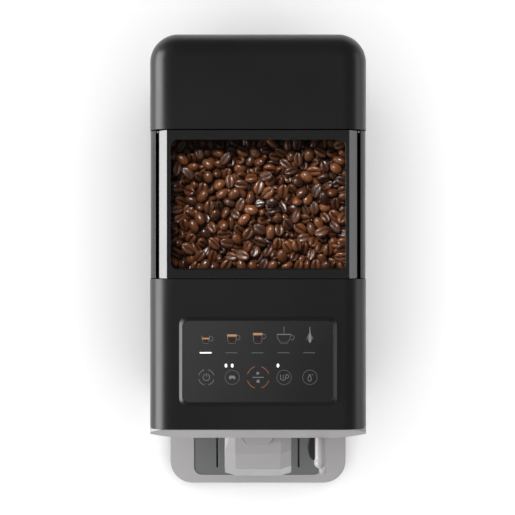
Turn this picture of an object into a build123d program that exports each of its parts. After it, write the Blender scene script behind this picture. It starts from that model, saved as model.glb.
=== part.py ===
"""A slim countertop bean-to-cup coffee machine, as the separate pieces it is assembled from.

Millimetres. +Z is up, the front faces -Y, and the origin is under the middle of the whole machine
on the surface it stands on.
"""

from build123d import *
import math
import os

os.makedirs("parts", exist_ok=True)

# Overall size
body_width = 183.0
body_height = 325.0
rear_y = 207.0
front_y = -126.0
tray_front_y = -207.0
foot_height = 6.0

# Casing
side_wall = 2.5
cover_wall = 3.0
cover_height = 28.0
side_round = 20.5
rear_corner = 24.0
seam_corner = 1.0
lid_inset = 7.0
front_corner = 3.0
seam_gap = 0.5
hopper_front_y = 0.5
hopper_rear_y = 124.5
pan_thickness = 3.0
bulkhead_wall = 3.0

# Control panel
panel_width = 132.0
panel_front_y = -106.0
panel_rear_y = -31.6
panel_slope = 3.2
panel_rim = 1.0
panel_rise = 2.0
glass_thickness = 1.8

# Hopper
window_width = 146.3
window_front_y = 7.7
window_rear_y = 116.6
window_corner = 6.5
pane_thickness = 3.0
bin_wall = 2.0
bin_depth = 46.0
funnel_depth = 30.0
neck_length = 12.0
neck_width = 44.0

# Drip tray and cup space
tray_width = 175.0
tray_height = 46.0
tray_corner = 22.0
tray_wall = 2.5
grille_width = 127.0
grille_thickness = 2.6
rim_front = 8.2
tail_width = 129.0
tail_height = 21.0
grounds_height = 67.0
grounds_depth = 78.0

# Coffee spout
spout_top = body_height - 80
spout_crease = body_height - 110
spout_shoulder = body_height - 160
spout_bottom = body_height - 175
spout_travel = 45.0
spout_width = 62.0
spout_flat = 41.0
spout_back_y = -129.2

# Steam wand
wand_x = 55.4
wand_z = body_height - 90
arm_radius = 5.3
tube_radius = 2.7
wand_reach_y = -164.0
wand_tip_y = -188.0
wand_tip_z = body_height - 212
wand_tip_x = 62.0

# Grinder and brewing unit
grinder_y = 62.0
grinder_radius = 36.0
burr_radius = 25.0
gear_module = 1.0
gear_teeth = 56
pinion_teeth = 16
brew_x = 20.0
brew_y = -56.0
cylinder_radius = 21.0
cylinder_wall = 4.0
piston_travel = 40.0
spindle_y = -86.0
hose_radius = 3.0

# Fits
running_fit = 0.05
slide_gap = 0.3
door_gap = 0.6

# Places that follow from the sizes above
half_width = body_width / 2
inner_half = half_width - side_wall
pan_top = foot_height + pan_thickness
cover_bottom = body_height - cover_height
lid_half = half_width - lid_inset
bulkhead_y = hopper_rear_y + seam_gap
bulkhead_front_y = bulkhead_y - bulkhead_wall
rear_head_y = bulkhead_y + seam_gap
wall_front_y = front_y - cover_wall
X_AXIS = (1, 0, 0)
Y_AXIS = (0, 1, 0)
Z_AXIS = (0, 0, 1)


def block(low, high, corner=0.0, mode=Mode.ADD):
    """An upright block between two opposite corners, its upright edges rounded by corner."""
    with BuildSketch(Plane.XY.offset(low[2])) as outline:
        with Locations(((low[0] + high[0]) / 2, (low[1] + high[1]) / 2)):
            if corner:
                RectangleRounded(high[0] - low[0], high[1] - low[1], corner)
            else:
                Rectangle(high[0] - low[0], high[1] - low[1])
    extrude(outline.sketch, amount=high[2] - low[2], mode=mode)


def rod(start, direction, radius, length, mode=Mode.ADD):
    """A round bar from start along direction."""
    with BuildSketch(Plane(start, z_dir=direction)) as outline:
        Circle(radius)
    extrude(outline.sketch, amount=length, mode=mode)


def plan_outline(half, low_y, high_y, z, front_corner=0.0, back_corner=0.0):
    """A flat outline, symmetric about x = 0, with its own corner radius at each end."""
    with BuildSketch(Plane.XY.offset(z)) as outline:
        with Locations((0, (low_y + high_y) / 2)):
            Rectangle(2 * half, high_y - low_y)
        if front_corner:
            fillet(outline.vertices().sort_by(Axis.Y)[:2], front_corner)
        if back_corner:
            fillet(outline.vertices().sort_by(Axis.Y)[-2:], back_corner)
    return outline.sketch


def slab(half, low_y, high_y, low_z, high_z, front_corner=0.0, back_corner=0.0, mode=Mode.ADD):
    """A plate of that outline between two heights."""
    outline = plan_outline(half, low_y, high_y, low_z, front_corner, back_corner)
    extrude(outline, amount=high_z - low_z, mode=mode)


def cover_volume(half, low_y, high_y, low_z, high_z, side, corners, flank=None):
    """A cover's envelope: its plan, cut to a section with rounded or bevelled shoulders."""
    with BuildPart() as volume:
        slab(half, low_y, high_y, low_z, high_z, corners[0], corners[1])
        with BuildSketch(Plane.XZ.offset(-high_y)) as section:
            with Locations((0, (low_z + high_z) / 2)):
                Rectangle(2 * half, high_z - low_z)
            shoulders = section.vertices().sort_by(Axis.Y)[-2:]
            if flank:
                chamfer(shoulders, flank)
            fillet(section.vertices().group_by(Axis.Y)[-1 if not flank else -2], side)
        extrude(section.sketch, amount=high_y - low_y, mode=Mode.INTERSECT)
    return volume.part


def rear_volume(half, low_y, high_y, low_z, high_z, shoulder, corner):
    """The rear cover's envelope: one rounded shoulder runs along both sides and round the back."""
    with BuildPart() as volume:
        slab(half, low_y, high_y, low_z, high_z, 0, corner)
        fillet(volume.faces().sort_by(Axis.Z)[-1].edges().sort_by(Axis.Y)[1:], shoulder)
    return volume.part


def save(part, name):
    """Labels a finished piece and writes it."""
    part.label = name
    export_step(part, "parts/" + name + ".step")


# Floor pan: carries the side panels, the rear base and the drip tray
pan_front_half = tray_width / 2 - 7
pan_front_y = tray_front_y + 9
pan_half = half_width - 1
bracket_size = 12.0
bracket_height = 16.0
bracket_places = [(x, y) for x in (-inner_half + 6, inner_half - 6) for y in (-106, 106)]
screw_radius = 1.6
screw_head_radius = 3.4
rail_height = 8.0
tail_half = tail_width / 2
with BuildPart() as base_pan:
    slab(pan_half, front_y, rear_y - 1, foot_height, pan_top, 0, rear_corner - 1)
    slab(pan_front_half, pan_front_y, front_y, foot_height, pan_top, tray_corner - 6)
    for side in (-1, 1):
        rail_low = side * (tail_half + 1.5 * slide_gap)
        rail_high = rail_low + side * 2.5
        block((min(rail_low, rail_high), front_y + 3, pan_top),
              (max(rail_low, rail_high), front_y + 78, pan_top + rail_height))
    for x, y in bracket_places:
        rod((x, y, foot_height), Z_AXIS, screw_radius, pan_thickness, Mode.SUBTRACT)
        rod((x, y, foot_height), Z_AXIS, screw_head_radius + 0.2, 1.5, Mode.SUBTRACT)
save(base_pan.part, "base_pan")

# Feet: soft discs under the pan
foot_radius = 9.0
foot_places = [(x, y) for x in (-66, 66) for y in (-176, 172)]
with BuildPart() as feet:
    for x, y in foot_places:
        rod((x, y, 0), Z_AXIS, foot_radius, foot_height)
    fillet(feet.edges().group_by(Axis.Z)[0], 1.2)
save(feet.part, "feet")

# Corner brackets with the screws that come up through the pan
with BuildPart() as corner_brackets:
    for x, y in bracket_places:
        half = bracket_size / 2
        block((x - half, y - half, pan_top), (x + half, y + half, pan_top + bracket_height))
        rod((x, y, pan_top), Z_AXIS, screw_radius, bracket_height, Mode.SUBTRACT)
save(corner_brackets.part, "corner_brackets")

with BuildPart() as case_screws:
    for x, y in bracket_places:
        rod((x, y, foot_height + 0.2), Z_AXIS, screw_head_radius, 1.3)
        rod((x, y, foot_height + 1.5), Z_AXIS, screw_radius, 13)
save(case_screws.part, "case_screws")

# Side panels: thin walls whose top steps in beside the hopper lid as a narrow ledge
ledge_top = body_height - 5
ledge_width = lid_inset - 1.8
ledge_depth = 9.0
shoulder_run = cover_volume(half_width - 0.4, hopper_front_y, hopper_rear_y, cover_bottom - side_round,
                            body_height, side_round, (0, 0))


def ledge(side):
    """The narrow strip beside the hopper lid, its top following the rounded shoulder of the covers."""
    outer = side * (half_width - 0.4)
    inner = outer - side * ledge_width
    with BuildPart() as strip:
        block((min(outer, inner), hopper_front_y, cover_bottom - ledge_depth),
              (max(outer, inner), hopper_rear_y, ledge_top))
        add(shoulder_run, mode=Mode.INTERSECT)
    return strip.part


door_low_y = -100.0
door_high_y = 60.0
door_low_z = 60.0
door_high_z = body_height - 55
hinge_x = half_width - side_wall / 2
hinge_pin_radius = 0.7
hinge_pin_length = 12.0
with BuildPart() as side_panel_left:
    block((-half_width, front_y, pan_top), (-inner_half, bulkhead_y, cover_bottom))
    add(ledge(-1))
save(side_panel_left.part, "side_panel_left")

with BuildPart() as side_panel_right:
    block((inner_half, front_y, pan_top), (half_width, bulkhead_y, cover_bottom))
    add(ledge(1))
    block((inner_half - 1, door_low_y - door_gap, door_low_z - door_gap),
          (half_width + 1, door_high_y + side_wall / 2 + door_gap, door_high_z + door_gap),
          mode=Mode.SUBTRACT)
    for z, way in ((door_low_z, -1), (door_high_z, 1)):
        rod((hinge_x, door_high_y, z), (0, 0, way), hinge_pin_radius, hinge_pin_length / 2, Mode.SUBTRACT)
save(side_panel_right.part, "side_panel_right")

# Service door over the brewing unit, turning on two pins at its rear edge
pull_width = 34.0
pull_y = door_low_y + 16
with BuildPart() as service_door:
    block((inner_half, door_low_y, door_low_z), (half_width, door_high_y, door_high_z))
    rod((hinge_x, door_high_y, door_low_z), Z_AXIS, side_wall / 2, door_high_z - door_low_z)
    with BuildSketch(Plane.YZ.offset(inner_half + 1)) as pull:
        with Locations((pull_y, (door_low_z + door_high_z) / 2)):
            SlotOverall(pull_width, 11, rotation=90)
    extrude(pull.sketch, amount=side_wall, mode=Mode.SUBTRACT)
    for z, way in ((door_low_z, 1), (door_high_z, -1)):
        bore = hinge_pin_radius + running_fit
        rod((hinge_x, door_high_y, z), (0, 0, way), bore, hinge_pin_length / 2, Mode.SUBTRACT)
save(service_door.part, "service_door")

with BuildPart() as door_hinge_pins:
    for z in (door_low_z, door_high_z):
        rod((hinge_x, door_high_y, z - hinge_pin_length / 2 + 0.5), Z_AXIS, hinge_pin_radius,
            hinge_pin_length - 1)
save(door_hinge_pins.part, "door_hinge_pins")

# Rear base: hollow shelf that carries the water tank, with the mains inlet and switch in its back
shelf_top = 44.0
seat_y = (rear_head_y + rear_y) / 2 - 15
seat_radius = 14.0
valve_radius = 8.0
inlet_x = 44.0
inlet_width = 27.0
inlet_height = 19.5
switch_x = -44.0
switch_width = 20.0
switch_radius = 6.5
rear_fittings_z = 26.0
rear_wall_y = rear_y - cover_wall
with BuildPart() as rear_base:
    slab(half_width, rear_head_y, rear_y, pan_top, shelf_top, 0, rear_corner)
    slab(half_width - cover_wall, rear_head_y - 1, rear_wall_y, pan_top, shelf_top - cover_wall,
         0, rear_corner - cover_wall, Mode.SUBTRACT)
    rod((0, seat_y, shelf_top - cover_wall), Z_AXIS, valve_radius - 2, cover_wall, Mode.SUBTRACT)
    block((inlet_x - inlet_width / 2, rear_wall_y - 1, rear_fittings_z - inlet_height / 2),
          (inlet_x + inlet_width / 2, rear_y + 1, rear_fittings_z + inlet_height / 2),
          mode=Mode.SUBTRACT)
    block((switch_x - switch_width / 2 - slide_gap, rear_wall_y - 1,
           rear_fittings_z - switch_radius - slide_gap),
          (switch_x + switch_width / 2 + slide_gap, rear_y + 1,
           rear_fittings_z + switch_radius + slide_gap), mode=Mode.SUBTRACT)
save(rear_base.part, "rear_base")

# Mains inlet: a blind socket with three contact blades
with BuildPart() as mains_inlet:
    block((inlet_x - inlet_width / 2, rear_y - 24, rear_fittings_z - inlet_height / 2),
          (inlet_x + inlet_width / 2, rear_y - 0.5, rear_fittings_z + inlet_height / 2))
    block((inlet_x - inlet_width / 2 + 2, rear_y - 18, rear_fittings_z - inlet_height / 2 + 2),
          (inlet_x + inlet_width / 2 - 2, rear_y, rear_fittings_z + inlet_height / 2 - 2),
          mode=Mode.SUBTRACT)
save(mains_inlet.part, "mains_inlet")

with BuildPart() as inlet_blades:
    for dx, dz in ((-7, -2), (0, 2), (7, -2)):
        block((inlet_x + dx - 1, rear_y - 18, rear_fittings_z + dz - 2),
              (inlet_x + dx + 1, rear_y - 5, rear_fittings_z + dz + 2))
save(inlet_blades.part, "inlet_blades")

# Mains switch: a rocker in a frame behind the rear wall
rocker_y = rear_y - switch_radius - 0.5
with BuildPart() as switch_frame:
    block((switch_x - switch_width / 2 - 3, rear_wall_y - 14, rear_fittings_z - switch_radius - 3),
          (switch_x + switch_width / 2 + 3, rear_wall_y, rear_fittings_z + switch_radius + 3))
    block((switch_x - switch_width / 2 - slide_gap, rear_wall_y - 11,
           rear_fittings_z - switch_radius - slide_gap),
          (switch_x + switch_width / 2 + slide_gap, rear_wall_y + 1,
           rear_fittings_z + switch_radius + slide_gap), mode=Mode.SUBTRACT)
    rod((switch_x - switch_width / 2 - 2, rocker_y, rear_fittings_z), X_AXIS, 1.5 + running_fit,
        switch_width + 4, Mode.SUBTRACT)
save(switch_frame.part, "switch_frame")

rocker_tilt = 8.0
with BuildPart() as power_switch:
    rod((switch_x - switch_width / 2, rocker_y, rear_fittings_z), X_AXIS, switch_radius, switch_width)
    for way in (-1, 1):
        flat = Plane((switch_x, rocker_y + switch_radius - 1.6, rear_fittings_z),
                     x_dir=X_AXIS, z_dir=(0, math.cos(math.radians(rocker_tilt)),
                                          way * math.sin(math.radians(rocker_tilt))))
        with BuildSketch(flat) as face:
            Rectangle(switch_width + 2, 30)
        extrude(face.sketch, amount=6, mode=Mode.SUBTRACT)
    rod((switch_x - switch_width / 2 - 1.8, rocker_y, rear_fittings_z), X_AXIS, 1.5, switch_width + 3.6)
save(power_switch.part, "power_switch")

# Bulkhead between the works and the water tank
tank_hose_x = -inner_half + 29
tank_hose_z = 25.0
with BuildPart() as bulkhead:
    block((-inner_half, bulkhead_front_y, pan_top), (inner_half, bulkhead_y, cover_bottom - ledge_depth))
    rod((tank_hose_x, bulkhead_front_y - 1, tank_hose_z), Y_AXIS, hose_radius + 1.5, bulkhead_wall + 2,
        Mode.SUBTRACT)
save(bulkhead.part, "bulkhead")

# Front panel: the wall under the head, and a brow that leans forward in front of it
brow_top = body_height - 4
brow_low = brow_top - 38
brow_reach = 10.8
brow_end = 32.0
brow_return = 5.4
opening_half = tail_half + 2 * slide_gap
opening_top = pan_top + 0.5 + tail_height + grounds_height + 1.5
socket_radius = 9.0
tube_hole = 3.2
spout_hose_z = spout_shoulder + 15
with BuildPart() as brow_shape:
    with BuildSketch(Plane.YZ.offset(-half_width)) as brow_profile:
        with BuildLine():
            Polyline((front_y, brow_low - 2), (front_y, brow_top), (front_y - 0.6, brow_top),
                     (front_y - brow_reach, brow_low + 4), (front_y - brow_reach + 1, brow_low),
                     (wall_front_y, brow_low - 2), (front_y, brow_low - 2))
        make_face()
        outer = brow_profile.vertices().sort_by(Axis.X)[:1]
        fillet(outer, 2.5)
    extrude(brow_profile.sketch, amount=body_width)
    with BuildSketch(Plane.XZ.offset(-front_y)) as brow_section:
        with Locations((0, (brow_low - 30 + brow_top + 3) / 2)):
            Rectangle(body_width, brow_top + 33 - brow_low)
        fillet(brow_section.vertices().sort_by(Axis.Y)[-2:], side_round)
    extrude(brow_section.sketch, amount=brow_reach + 3, mode=Mode.INTERSECT)
    with BuildSketch(Plane.XY.offset(brow_low - 30)) as brow_plan:
        with BuildLine():
            edge_y = front_y - brow_reach
            end_y = edge_y + brow_return
            Line((brow_end - half_width, edge_y), (half_width - brow_end, edge_y))
            for side in (-1, 1):
                TangentArc((side * (half_width - brow_end), edge_y), (side * half_width, end_y),
                           tangent=(side, 0))
            Polyline((-half_width, end_y), (-half_width, front_y + 1), (half_width, front_y + 1),
                     (half_width, end_y))
        make_face()
    extrude(brow_plan.sketch, amount=brow_top - brow_low + 40, mode=Mode.INTERSECT)
with BuildPart() as front_panel:
    block((-half_width, wall_front_y, pan_top), (half_width, front_y, brow_low - 2))
    add(brow_shape.part)
    block((-opening_half, wall_front_y - 1, pan_top - 1), (opening_half, front_y + 1, opening_top),
          mode=Mode.SUBTRACT)
    rod((wand_x, wall_front_y - 1, wand_z), Y_AXIS, arm_radius + running_fit, cover_wall + 2,
        Mode.SUBTRACT)
    rod((0, wall_front_y - 1, spout_hose_z), Y_AXIS, tube_hole, cover_wall + 2, Mode.SUBTRACT)
save(front_panel.part, "front_panel")

# Front head: the black cover with the raised frame of the control panel
head_skin = 5.0
glass_top = body_height + panel_rise
glass_half = panel_width / 2 - panel_slope
glass_front_y = panel_front_y + panel_slope
glass_rear_y = panel_rear_y - panel_slope
glass_mid_y = (glass_front_y + glass_rear_y) / 2
lip = 4.5
front_envelope = cover_volume(half_width, front_y, 0, cover_bottom, body_height, side_round,
                              (front_corner, seam_corner))
front_cavity = cover_volume(half_width - cover_wall, front_y + cover_wall, -cover_wall, cover_bottom,
                            body_height - head_skin, side_round - cover_wall, (0, 0))
with BuildPart() as front_head:
    add(front_envelope)
    add(front_cavity, mode=Mode.SUBTRACT)
    with BuildSketch(Plane.XY.offset(body_height)) as panel_foot:
        with Locations((0, glass_mid_y)):
            RectangleRounded(panel_width, panel_rear_y - panel_front_y, 6.5)
    with BuildSketch(Plane.XY.offset(glass_top)) as panel_edge:
        with Locations((0, glass_mid_y)):
            RectangleRounded(2 * glass_half + panel_rim, glass_rear_y - glass_front_y + panel_rim, 5.5)
    loft([panel_foot.sketch, panel_edge.sketch])
    block((-glass_half, glass_front_y, glass_top - glass_thickness),
          (glass_half, glass_rear_y, glass_top), 5, Mode.SUBTRACT)
    block((-glass_half + lip, glass_front_y + lip, cover_bottom),
          (glass_half - lip, glass_rear_y - lip, glass_top), 2, Mode.SUBTRACT)
save(front_head.part, "front_head")

with BuildPart() as control_glass:
    block((-glass_half + 0.1, glass_front_y + 0.1, glass_top - glass_thickness),
          (glass_half - 0.1, glass_rear_y - 0.1, glass_top), 4.9)
save(control_glass.part, "control_glass")

# Control board: screwed up against the head under the glass, with the lights on it
board_top = body_height - head_skin
with BuildPart() as control_board:
    block((-glass_half + 1, glass_front_y + 1, board_top - 1.6), (glass_half - 1, glass_rear_y - 1, board_top))
save(control_board.part, "control_board")

light_spacing = 25.8
with BuildPart() as control_lights:
    for row_y in (glass_mid_y - 11, glass_mid_y + 8):
        with BuildSketch(Plane.XY.offset(board_top)) as lights:
            with Locations((0, row_y)):
                with GridLocations(light_spacing * 0.8, 1, 5, 1):
                    Rectangle(5, 5)
        extrude(lights.sketch, amount=1.8)
save(control_lights.part, "control_lights")

# Hopper lid: a frame with rounded flanks, its glass pane fixed from below
lid_bevel = 8.2
lid_edge_round = 5.0
lid_cavity_round = 4.5
lid_skin = 5.0
lid_base = cover_bottom + 12
pane_top = body_height - lid_skin
window_half = window_width / 2
pane_lap = 3.0
lid_envelope = cover_volume(lid_half, hopper_front_y, hopper_rear_y, lid_base, body_height, lid_edge_round,
                            (3, 3), flank=lid_bevel)
lid_cavity = cover_volume(lid_half - cover_wall, hopper_front_y + cover_wall, hopper_rear_y - cover_wall,
                          lid_base, pane_top, lid_cavity_round, (1, 1))
with BuildPart() as hopper_lid:
    add(lid_envelope)
    add(lid_cavity, mode=Mode.SUBTRACT)
    block((-window_half, window_front_y, lid_base), (window_half, window_rear_y, body_height + 1),
          window_corner, Mode.SUBTRACT)
save(hopper_lid.part, "hopper_lid")

with BuildPart() as hopper_window:
    block((-window_half - pane_lap, window_front_y - pane_lap, pane_top - pane_thickness),
          (window_half + pane_lap, window_rear_y + 3.5, pane_top), window_corner)
save(hopper_window.part, "hopper_window")

# Hopper bin: a straight tub over a funnel and a neck
bin_half = lid_half - cover_wall - 2
bin_front_y = hopper_front_y + cover_wall + 1
bin_rear_y = bulkhead_front_y - 0.6
bin_mid_y = (bin_front_y + bin_rear_y) / 2
bin_top = pane_top - pane_thickness - 2
bin_low = bin_top - bin_depth
neck_top = bin_low - funnel_depth
neck_low = neck_top - neck_length


def bin_outline(z, inset, at_neck):
    """The bin's outline at a height: the full tub, or the neck below it."""
    width = neck_width if at_neck else 2 * bin_half
    depth = neck_width if at_neck else bin_rear_y - bin_front_y
    with BuildSketch(Plane.XY.offset(z)) as outline:
        with Locations((0, grinder_y if at_neck else bin_mid_y)):
            RectangleRounded(width - 2 * inset, depth - 2 * inset, 8 - inset)
    return outline.sketch


with BuildPart() as hopper_bin:
    extrude(bin_outline(bin_low, 0, False), amount=bin_depth)
    loft([bin_outline(bin_low, 0, False), bin_outline(neck_top, 0, True)])
    extrude(bin_outline(neck_low, 0, True), amount=neck_length)
    extrude(bin_outline(bin_low, bin_wall, False), amount=bin_depth, mode=Mode.SUBTRACT)
    loft([bin_outline(bin_low, bin_wall, False), bin_outline(neck_top, bin_wall, True)],
         mode=Mode.SUBTRACT)
    extrude(bin_outline(neck_low, bin_wall, True), amount=neck_length, mode=Mode.SUBTRACT)
save(hopper_bin.part, "hopper_bin")

# Water tank: an open tub the shape of the rear body, with its filter, valve and hinged lid
tank_wall = 2.5
tank_low = shelf_top + 2
tank_top = cover_bottom - 2.2
tank_front_y = rear_head_y + 2
hinge_y = rear_y - 3.3
hinge_z = cover_bottom + 2.8
lid_pin_radius = 1.2
lug_low_x = 24.0
lug_high_x = 30.0
with BuildPart() as water_tank:
    slab(half_width - 0.5, tank_front_y, rear_y - 0.5, tank_low, tank_top, 4, rear_corner)
    slab(half_width - 0.5 - tank_wall, tank_front_y + tank_wall, rear_y - 0.5 - tank_wall,
         tank_low + 3, tank_top, 2, rear_corner - tank_wall, Mode.SUBTRACT)
    rod((0, seat_y, tank_low), Z_AXIS, valve_radius, 3, Mode.SUBTRACT)
    for side in (-1, 1):
        low_x = min(side * lug_low_x, side * lug_high_x)
        block((low_x, hinge_y - 2.2, tank_top - 6), (low_x + lug_high_x - lug_low_x, rear_y - 0.5, hinge_z))
        rod((low_x, hinge_y, hinge_z), X_AXIS, 2.2, lug_high_x - lug_low_x)
        rod((low_x, hinge_y, hinge_z), X_AXIS, lid_pin_radius, lug_high_x - lug_low_x, Mode.SUBTRACT)
save(water_tank.part, "water_tank")

with BuildPart() as tank_valve:
    rod((0, seat_y, tank_low - 1.6), Z_AXIS, valve_radius - 3, 1.6)
    rod((0, seat_y, tank_low), Z_AXIS, valve_radius, 3)
    rod((0, seat_y, tank_low + 3), Z_AXIS, valve_radius + 3, 3)
save(tank_valve.part, "tank_valve")

with BuildPart() as water_filter:
    rod((0, seat_y, tank_low + 6), Z_AXIS, 15, 58)
    fillet(water_filter.edges().group_by(Axis.Z)[-1], 5)
save(water_filter.part, "water_filter")

with BuildPart() as tank_seat:
    rod((0, seat_y, shelf_top), Z_AXIS, seat_radius, 2)
    rod((0, seat_y, shelf_top), Z_AXIS, valve_radius, 2, Mode.SUBTRACT)
save(tank_seat.part, "tank_seat")

tank_envelope = rear_volume(half_width, rear_head_y, rear_y, cover_bottom, body_height, side_round,
                            rear_corner)
tank_cavity = rear_volume(half_width - cover_wall, rear_head_y + cover_wall, rear_y - cover_wall,
                          cover_bottom, body_height - cover_wall, side_round - cover_wall,
                          rear_corner - cover_wall)
with BuildPart() as tank_lid:
    add(tank_envelope)
    add(tank_cavity, mode=Mode.SUBTRACT)
    for side in (-1, 1):
        low_x = min(side * (lug_low_x - 10), side * (lug_high_x + 10))
        block((low_x, hinge_y - 4, cover_bottom), (low_x + 26, rear_wall_y + 0.5, hinge_z + 3))
        slot_x = min(side * (lug_low_x - 0.6), side * (lug_high_x + 0.6))
        block((slot_x, hinge_y - 6, cover_bottom - 1), (slot_x + lug_high_x - lug_low_x + 1.2, rear_y + 1,
                                                       hinge_z + 3.2), mode=Mode.SUBTRACT)
        rod((low_x + 2, hinge_y, hinge_z), X_AXIS, lid_pin_radius + running_fit, 22, Mode.SUBTRACT)
save(tank_lid.part, "tank_lid")

with BuildPart() as tank_lid_pins:
    for side in (-1, 1):
        low_x = min(side * (lug_low_x - 10), side * (lug_high_x + 10))
        rod((low_x + 3, hinge_y, hinge_z), X_AXIS, lid_pin_radius, 20)
save(tank_lid_pins.part, "tank_lid_pins")

# Drip tray: wide bowl in front, narrower tail under the body that carries the grounds box
tray_low = pan_top + 0.5
tray_half = tray_width / 2
tray_back_y = wall_front_y - 0.7
rim_z = tray_low + tray_height - tray_wall - 3.0
grille_top = tray_low + tray_height - 6
grille_half = grille_width / 2
grille_front_y = tray_front_y + rim_front
grille_back_y = tray_back_y - tray_wall
bowl_half = grille_half - 2.5
tail_back_y = front_y + grounds_depth + 3
with BuildPart() as drip_tray:
    slab(tray_half, tray_front_y, tray_back_y, tray_low, rim_z, tray_corner)
    loft([plan_outline(tray_half, tray_front_y, tray_back_y, rim_z, tray_corner),
          plan_outline(grille_half + 1, grille_front_y - 0.6, tray_back_y, grille_top, 8.5)])
    slab(tail_half, tray_back_y - 1, tail_back_y, tray_low, tray_low + tail_height)
    slab(grille_half + slide_gap, grille_front_y - slide_gap, grille_back_y + slide_gap,
         grille_top - grille_thickness, body_height, 8, 0, Mode.SUBTRACT)
    slab(bowl_half, grille_front_y + 2.5, grille_back_y - 2, tray_low + tray_wall, body_height, 6, 0,
         Mode.SUBTRACT)
    slab(bowl_half, grille_back_y - 10, tail_back_y - tray_wall, tray_low + tray_wall,
         tray_low + tail_height - 3, mode=Mode.SUBTRACT)
    slab(bowl_half, tray_back_y + 2, tail_back_y - tray_wall, tray_low + tray_wall, body_height,
         mode=Mode.SUBTRACT)
save(drip_tray.part, "drip_tray")

slot_width = 1.9
slot_spacing = 40.7
with BuildPart() as tray_grille:
    slab(grille_half, grille_front_y, grille_back_y, grille_top - grille_thickness, grille_top, 7.7)
    for x in (-slot_spacing, 0, slot_spacing):
        block((x - slot_width / 2, grille_front_y + 7, 0), (x + slot_width / 2, grille_back_y - 6, body_height),
              slot_width / 2 - 0.01, Mode.SUBTRACT)
save(tray_grille.part, "tray_grille")

grounds_low = tray_low + tail_height + 0.5
grounds_half = tail_half - 0.5
with BuildPart() as grounds_box:
    slab(grounds_half, wall_front_y, wall_front_y + grounds_depth, grounds_low, grounds_low + grounds_height)
    slab(grounds_half - 2, wall_front_y + 3, wall_front_y + grounds_depth - 2, grounds_low + 2,
         body_height, mode=Mode.SUBTRACT)
save(grounds_box.part, "grounds_box")

# Spout: slides on a guide column; its section is a front flat between two shallow facets
column_back_half = 20.5
column_front_half = 9.7
column_front_y = -147.0
spout_facet = 3.0
spout_taper = 5.0
column_gap = 0.8
column_top = spout_top + 23


def spout_outline(z, half, front, inset=0.0):
    """The spout's outline at a height: back edge, sides, facets and the front flat."""
    flat = spout_flat / 2 - inset / 2
    with BuildSketch(Plane.XY.offset(z)) as outline:
        with BuildLine():
            knee_y = spout_back_y + 0.45 * (front - spout_back_y)
            back = half - spout_taper - inset
            Polyline((-back, spout_back_y - inset), (-half + inset, knee_y),
                     (-half + inset, front + spout_facet + inset), (-flat, front + inset),
                     (flat, front + inset), (half - inset, front + spout_facet + inset),
                     (half - inset, knee_y), (back, spout_back_y - inset), close=True)
        make_face()
    return outline.sketch


def column_outline(z, gap):
    """The guide column's trapezoid, grown by a gap."""
    with BuildSketch(Plane.XY.offset(z)) as outline:
        with BuildLine():
            Polyline((-column_back_half - gap, wall_front_y), (-column_front_half - gap, column_front_y - gap),
                     (column_front_half + gap, column_front_y - gap), (column_back_half + gap, wall_front_y),
                     close=True)
        make_face()
    return outline.sketch


with BuildPart() as spout_guide:
    column_low = spout_shoulder + 2
    extrude(column_outline(column_low, 0), amount=column_top - column_low)
    with BuildSketch(Plane.YZ.offset(-column_back_half - 1)) as slope:
        with BuildLine():
            Polyline((wall_front_y, column_top), (column_front_y, spout_top + 2),
                     (column_front_y - 5, column_top + 5), (wall_front_y, column_top + 5), close=True)
        make_face()
    extrude(slope.sketch, amount=2 * column_back_half + 2, mode=Mode.SUBTRACT)
    rod((0, wall_front_y, spout_hose_z), (0, -1, 0), tube_hole, 8, Mode.SUBTRACT)
    rod((0, wall_front_y - 8, column_low), Z_AXIS, tube_hole, spout_hose_z - column_low, Mode.SUBTRACT)
save(spout_guide.part, "spout_guide")

spout_half = spout_width / 2
with BuildPart() as spout_body:
    shoulder = spout_outline(spout_shoulder, spout_half, -179)
    crease = spout_outline(spout_crease, spout_half - 1.5, -159)
    crown = spout_outline(spout_top, spout_half - 6.0, -141)
    loft([shoulder, crease], ruled=True)
    loft([crease, crown], ruled=True)
    extrude(column_outline(spout_shoulder, column_gap), amount=spout_top, mode=Mode.SUBTRACT)
save(spout_body.part, "spout_body")

with BuildPart() as spout_skirt:
    loft([spout_outline(spout_shoulder, spout_half, -179), spout_outline(spout_bottom, spout_half, -187)],
         ruled=True)
    block((-spout_half + 2.5, -172, spout_bottom - 1), (spout_half - 2.5, spout_back_y - 3, spout_shoulder + 1),
          3, Mode.SUBTRACT)
save(spout_skirt.part, "spout_skirt")

nozzle_spacing = 22.0
with BuildPart() as spout_nozzles:
    for x in (-nozzle_spacing / 2, nozzle_spacing / 2):
        rod((x, -164, spout_bottom + 1), Z_AXIS, 4, spout_shoulder - spout_bottom - 1)
        rod((x, -164, spout_bottom + 1), Z_AXIS, 2, spout_shoulder - spout_bottom - 3, Mode.SUBTRACT)
save(spout_nozzles.part, "spout_nozzles")

# Steam wand: an arm that turns in the front wall, an elbow and a thin outlet tube
with BuildPart() as wand_socket:
    rod((wand_x, wall_front_y, wand_z), (0, -1, 0), socket_radius, 5)
    rod((wand_x, wall_front_y, wand_z), (0, -1, 0), arm_radius + running_fit, 5, Mode.SUBTRACT)
    fillet(wand_socket.edges().group_by(Axis.Y)[0].sort_by(SortBy.LENGTH)[-1], 1)
save(wand_socket.part, "wand_socket")

tube_run = (wand_tip_x - wand_x, wand_tip_y - wand_reach_y, wand_tip_z - wand_z)
tube_length = math.hypot(*tube_run)
with BuildPart() as wand_arm:
    rod((wand_x, wand_reach_y, wand_z), Y_AXIS, arm_radius, front_y - wand_reach_y + 2)
    with Locations((wand_x, wand_reach_y, wand_z)):
        Sphere(arm_radius + 0.4)
    rod((wand_x, wand_reach_y, wand_z), tube_run, tube_radius + 1.6, 17)
save(wand_arm.part, "wand_arm")

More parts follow.
